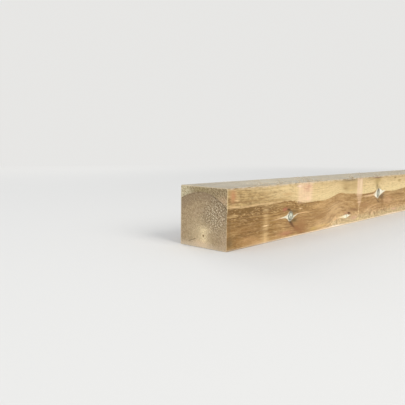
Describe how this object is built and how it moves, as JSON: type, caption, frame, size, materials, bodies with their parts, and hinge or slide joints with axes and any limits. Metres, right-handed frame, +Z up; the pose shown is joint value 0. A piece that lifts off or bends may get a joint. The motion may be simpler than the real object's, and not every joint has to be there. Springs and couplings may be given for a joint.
{
  "type": "pine joist",
  "caption": "Rough-sawn square pine joist with the heart of the stem in it, knots on its faces and a drying check on one end.",
  "frame": {"origin": "middle of the bottom face, which rests on the floor", "axes": "+X along the joist from the near end to the far end, +Z up, and -Y towards the side on show"},
  "size_m": [2.4, 0.1, 0.1],
  "materials": {
    "sawn_pine": "rough-sawn, weathered grey on the top and the ends"
  },
  "bodies": {
    "root": {"joist": "sawn_pine"}
  },
  "joints": []
}
